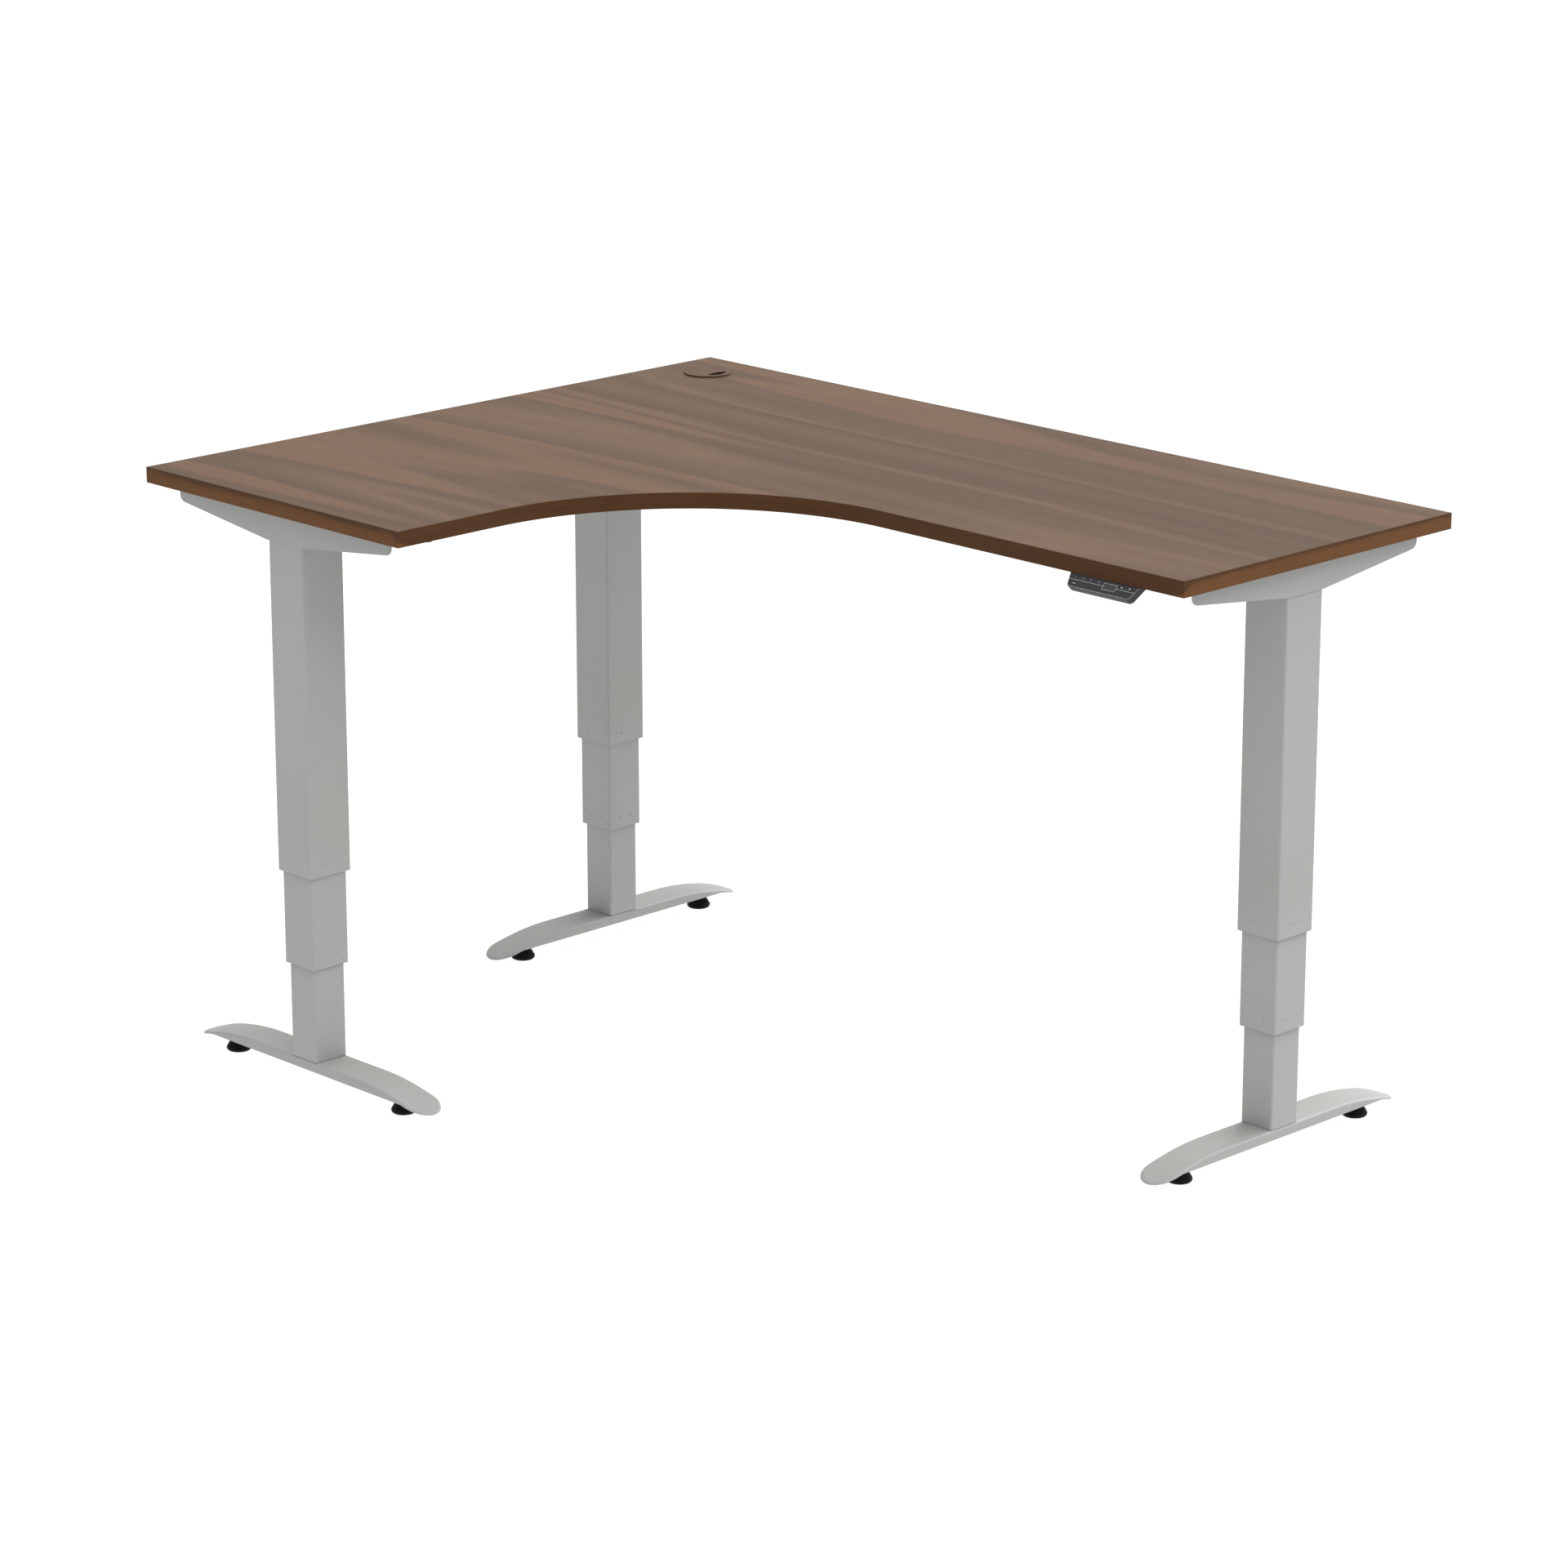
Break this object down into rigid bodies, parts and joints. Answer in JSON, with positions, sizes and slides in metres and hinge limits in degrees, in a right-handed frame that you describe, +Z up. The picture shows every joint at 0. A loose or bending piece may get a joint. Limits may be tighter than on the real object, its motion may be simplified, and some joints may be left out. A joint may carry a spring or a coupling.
{
  "type": "height adjustable standing desk",
  "caption": "L-shaped walnut corner desk with a round inner bay, on grey telescopic lifting columns with crescent feet, an edge handset and a cable grommet.",
  "frame": {"origin": "on the floor, under the centre of the desktop's bounding rectangle", "axes": "+X along the long back edge, +Y towards the back, +Z up out of the work surface"},
  "size_m": [1.6, 1.2, 0.9473],
  "materials": {
    "walnut_laminate": "satin",
    "edge_band": "satin",
    "grommet_plastic": "satin",
    "powder_coat": "satin",
    "cast_motor": "satin",
    "grey_polymer": "matte",
    "nut_polymer": "satin",
    "bright_steel": "polished",
    "pad_polymer": "satin",
    "case_plastic": "satin",
    "overlay_plastic": "satin",
    "display_glass": "gloss"
  },
  "bodies": {
    "corner_foot": {"foot_beam_corner": "powder_coat", "inner_tube_corner": "powder_coat", "lower_nut_corner": "nut_polymer"},
    "corner_middle": {"middle_tube_corner": "powder_coat", "middle_glide_corner": "grey_polymer", "upper_nut_corner": "nut_polymer"},
    "top": {"tabletop": "walnut_laminate", "edge_band": "edge_band", "grommet_sleeve": "grommet_plastic", "main_rail_front": "powder_coat", "main_rail_back": "powder_coat", "wing_rail": "powder_coat", "control_box": "case_plastic", "handset_housing": "case_plastic", "handset_face": "overlay_plastic", "handset_display": "display_glass", "support_bracket_corner": "powder_coat", "gear_motor_corner": "cast_motor", "outer_tube_corner": "powder_coat", "outer_glide_corner": "grey_polymer", "support_bracket_right": "powder_coat", "gear_motor_right": "cast_motor", "outer_tube_right": "powder_coat", "outer_glide_right": "grey_polymer", "support_bracket_wing": "powder_coat", "gear_motor_wing": "cast_motor", "outer_tube_wing": "powder_coat", "outer_glide_wing": "grey_polymer"},
    "right_middle": {"middle_tube_right": "powder_coat", "middle_glide_right": "grey_polymer", "upper_nut_right": "nut_polymer"},
    "right_foot": {"foot_beam_right": "powder_coat", "inner_tube_right": "powder_coat", "lower_nut_right": "nut_polymer"},
    "wing_middle": {"middle_tube_wing": "powder_coat", "middle_glide_wing": "grey_polymer", "upper_nut_wing": "nut_polymer"},
    "wing_foot": {"foot_beam_wing": "powder_coat", "inner_tube_wing": "powder_coat", "lower_nut_wing": "nut_polymer"},
    "corner_upper_screw": {"upper_screw_corner": "bright_steel"},
    "corner_lower_screw": {"lower_screw_corner": "bright_steel"},
    "corner_pad_a": {"levelling_pad_corner_a": "pad_polymer"},
    "corner_pad_b": {"levelling_pad_corner_b": "pad_polymer"},
    "right_upper_screw": {"upper_screw_right": "bright_steel"},
    "right_lower_screw": {"lower_screw_right": "bright_steel"},
    "right_pad_a": {"levelling_pad_right_a": "pad_polymer"},
    "right_pad_b": {"levelling_pad_right_b": "pad_polymer"},
    "wing_upper_screw": {"upper_screw_wing": "bright_steel"},
    "wing_lower_screw": {"lower_screw_wing": "bright_steel"},
    "wing_pad_a": {"levelling_pad_wing_a": "pad_polymer"},
    "wing_pad_b": {"levelling_pad_wing_b": "pad_polymer"},
    "cover": {"grommet_cover": "grommet_plastic"},
    "key_1_cap": {"key_1": "overlay_plastic"},
    "key_2_cap": {"key_2": "overlay_plastic"},
    "key_3_cap": {"key_3": "overlay_plastic"},
    "key_4_cap": {"key_4": "overlay_plastic"},
    "key_up_cap": {"key_up": "overlay_plastic"},
    "key_down_cap": {"key_down": "overlay_plastic"},
    "key_memory_cap": {"key_memory": "overlay_plastic"}
  },
  "joints": [
    {"name": "lift", "type": "slide", "parent": "corner_foot", "child": "corner_middle", "axis": [0, 0, 1], "range_m": [-0.147, 0.178]},
    {"name": "corner_upper_stage", "type": "slide", "parent": "corner_middle", "child": "top", "axis": [0, 0, 1], "range_m": [-0.147, 0.178]},
    {"name": "right_upper_stage", "type": "slide", "parent": "top", "child": "right_middle", "axis": [0, 0, -1], "range_m": [-0.147, 0.178]},
    {"name": "right_lower_stage", "type": "slide", "parent": "right_middle", "child": "right_foot", "axis": [0, 0, -1], "range_m": [-0.147, 0.178]},
    {"name": "wing_upper_stage", "type": "slide", "parent": "top", "child": "wing_middle", "axis": [0, 0, -1], "range_m": [-0.147, 0.178]},
    {"name": "wing_lower_stage", "type": "slide", "parent": "wing_middle", "child": "wing_foot", "axis": [0, 0, -1], "range_m": [-0.147, 0.178]},
    {"name": "corner_upper_screw_turn", "type": "hinge", "parent": "top", "child": "corner_upper_screw", "pos_m": [-0.732, 0.3, 0.6], "axis": [0, 0, 1], "continuous": true},
    {"name": "corner_lower_screw_turn", "type": "hinge", "parent": "corner_middle", "child": "corner_lower_screw", "pos_m": [-0.732, 0.3, 0.6], "axis": [0, 0, 1], "continuous": true},
    {"name": "right_upper_screw_turn", "type": "hinge", "parent": "top", "child": "right_upper_screw", "pos_m": [0.732, 0.3, 0.6], "axis": [0, 0, 1], "continuous": true},
    {"name": "right_lower_screw_turn", "type": "hinge", "parent": "right_middle", "child": "right_lower_screw", "pos_m": [0.732, 0.3, 0.6], "axis": [0, 0, 1], "continuous": true},
    {"name": "wing_upper_screw_turn", "type": "hinge", "parent": "top", "child": "wing_upper_screw", "pos_m": [-0.5, -0.531, 0.6], "axis": [0, 0, 1], "continuous": true},
    {"name": "wing_lower_screw_turn", "type": "hinge", "parent": "wing_middle", "child": "wing_lower_screw", "pos_m": [-0.5, -0.531, 0.6], "axis": [0, 0, 1], "continuous": true},
    {"name": "corner_pad_a_level", "type": "slide", "parent": "corner_foot", "child": "corner_pad_a", "axis": [0, 0, 1], "range_m": [-0.005, 0]},
    {"name": "corner_pad_b_level", "type": "slide", "parent": "corner_foot", "child": "corner_pad_b", "axis": [0, 0, 1], "range_m": [-0.005, 0]},
    {"name": "right_pad_a_level", "type": "slide", "parent": "right_foot", "child": "right_pad_a", "axis": [0, 0, 1], "range_m": [-0.005, 0]},
    {"name": "right_pad_b_level", "type": "slide", "parent": "right_foot", "child": "right_pad_b", "axis": [0, 0, 1], "range_m": [-0.005, 0]},
    {"name": "wing_pad_a_level", "type": "slide", "parent": "wing_foot", "child": "wing_pad_a", "axis": [0, 0, 1], "range_m": [-0.005, 0]},
    {"name": "wing_pad_b_level", "type": "slide", "parent": "wing_foot", "child": "wing_pad_b", "axis": [0, 0, 1], "range_m": [-0.005, 0]},
    {"name": "grommet_cover_turn", "type": "hinge", "parent": "top", "child": "cover", "pos_m": [-0.704, 0.504, 0.9456], "axis": [0, 0, 1], "continuous": true},
    {"name": "key_1_press", "type": "slide", "parent": "top", "child": "key_1_cap", "axis": [0, 0.7071, -0.7071], "range_m": [0, 0.0005], "stiffness_N_per_m": 600, "springref_m": -0.0005},
    {"name": "key_2_press", "type": "slide", "parent": "top", "child": "key_2_cap", "axis": [0, 0.7071, -0.7071], "range_m": [0, 0.0005], "stiffness_N_per_m": 600, "springref_m": -0.0005},
    {"name": "key_3_press", "type": "slide", "parent": "top", "child": "key_3_cap", "axis": [0, 0.7071, -0.7071], "range_m": [0, 0.0005], "stiffness_N_per_m": 600, "springref_m": -0.0005},
    {"name": "key_4_press", "type": "slide", "parent": "top", "child": "key_4_cap", "axis": [0, 0.7071, -0.7071], "range_m": [0, 0.0005], "stiffness_N_per_m": 600, "springref_m": -0.0005},
    {"name": "key_up_press", "type": "slide", "parent": "top", "child": "key_up_cap", "axis": [0, 0.7071, -0.7071], "range_m": [0, 0.0005], "stiffness_N_per_m": 600, "springref_m": -0.0005},
    {"name": "key_down_press", "type": "slide", "parent": "top", "child": "key_down_cap", "axis": [0, 0.7071, -0.7071], "range_m": [0, 0.0005], "stiffness_N_per_m": 600, "springref_m": -0.0005},
    {"name": "key_memory_press", "type": "slide", "parent": "top", "child": "key_memory_cap", "axis": [0, 0.7071, -0.7071], "range_m": [0, 0.0005], "stiffness_N_per_m": 600, "springref_m": -0.0005}
  ],
  "couplings": [
    {"joint": "corner_upper_stage", "follows": "lift", "ratio": 1},
    {"joint": "right_upper_stage", "follows": "lift", "ratio": 1},
    {"joint": "right_lower_stage", "follows": "lift", "ratio": 1},
    {"joint": "wing_upper_stage", "follows": "lift", "ratio": 1},
    {"joint": "wing_lower_stage", "follows": "lift", "ratio": 1},
    {"joint": "corner_upper_screw_turn", "follows": "lift", "rad_per_m": 1047.2},
    {"joint": "corner_lower_screw_turn", "follows": "lift", "rad_per_m": 1047.2},
    {"joint": "right_upper_screw_turn", "follows": "lift", "rad_per_m": 1047.2},
    {"joint": "right_lower_screw_turn", "follows": "lift", "rad_per_m": 1047.2},
    {"joint": "wing_upper_screw_turn", "follows": "lift", "rad_per_m": 1047.2},
    {"joint": "wing_lower_screw_turn", "follows": "lift", "rad_per_m": 1047.2}
  ]
}
